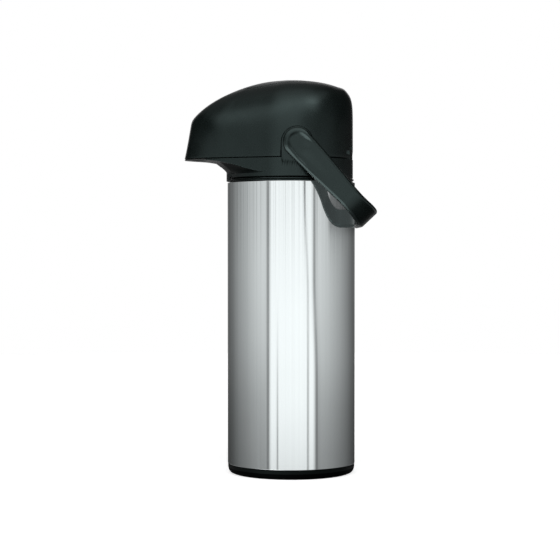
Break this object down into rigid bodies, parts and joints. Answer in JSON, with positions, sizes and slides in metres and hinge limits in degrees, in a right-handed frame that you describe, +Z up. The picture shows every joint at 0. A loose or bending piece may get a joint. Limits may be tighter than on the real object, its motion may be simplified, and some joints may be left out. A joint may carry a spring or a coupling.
{
  "type": "thermal coffee airpot",
  "caption": "Tall vacuum-insulated beverage dispenser: polished steel body, black pump head with hinged hood, press pad, forward spout and swinging carry handle.",
  "frame": {"origin": "centre of the flat underside of the base, on the table surface", "axes": "+Z up along the body's axis, -Y towards the spout, +Y towards the hood hinge, +X to the right of a viewer who faces the spout; the handle turns about X"},
  "size_m": [0.14, 0.1895, 0.3901],
  "materials": {
    "polished_steel": "mirror-polished stainless sheet",
    "head_black": "smooth moulded plastic, semi-gloss",
    "handle_black": "smooth moulded plastic, semi-gloss",
    "base_black": "moulded plastic",
    "inner_plastic": "moulded plastic",
    "silvered_glass": "silvered double-wall glass",
    "tube_steel": "drawn stainless tube",
    "fastener_steel": "zinc-plated steel",
    "grey_rubber": "silicone",
    "dark_rubber": "moulded rubber"
  },
  "bodies": {
    "body": {"outer_body_shell": "polished_steel", "base_ring": "base_black", "base_plate": "inner_plastic", "base_screw_1": "fastener_steel", "base_screw_2": "fastener_steel", "base_screw_3": "fastener_steel", "liner_cushion": "dark_rubber", "vacuum_liner": "silvered_glass", "neck_ring": "head_black", "mouth_gasket": "grey_rubber", "stopper_plug": "inner_plastic", "stopper_cover": "inner_plastic", "stopper_seal": "grey_rubber", "dip_tube": "tube_steel", "outlet_seal": "grey_rubber", "head_collar": "head_black", "collar_screw_1": "fastener_steel", "collar_screw_2": "fastener_steel", "collar_screw_3": "fastener_steel", "collar_screw_4": "fastener_steel", "lid_hinge_pin": "fastener_steel", "handle_pivot_pin_right": "fastener_steel", "handle_pivot_pin_left": "fastener_steel"},
    "hood": {"hood_shell": "head_black", "hood_inner_plate": "inner_plastic", "hood_screw_1": "fastener_steel", "hood_screw_2": "fastener_steel", "hood_screw_3": "fastener_steel", "hood_screw_4": "fastener_steel", "spout_pipe": "tube_steel", "spout_nozzle": "inner_plastic", "bellows": "dark_rubber", "return_spring": "fastener_steel"},
    "pad": {"press_pad": "head_black", "press_plunger": "inner_plastic"},
    "handle": {"handle": "handle_black"},
    "latch": {"latch_button": "inner_plastic"}
  },
  "joints": [
    {"name": "hood_hinge", "type": "hinge", "parent": "body", "child": "hood", "pos_m": [0, 0.056, 0.318], "axis": [-1, 0, 0], "range_deg": [0, 88]},
    {"name": "pad_press", "type": "slide", "parent": "hood", "child": "pad", "axis": [0, 0, -1], "range_m": [0, 0.018], "deforming": ["bellows", "return_spring"]},
    {"name": "handle_swing", "type": "hinge", "parent": "body", "child": "handle", "pos_m": [0, 0.0054, 0.326], "axis": [1, 0, 0], "range_deg": [0, 190]},
    {"name": "latch_push", "type": "slide", "parent": "body", "child": "latch", "axis": [0, 1, 0], "range_m": [0, 0.003]}
  ]
}
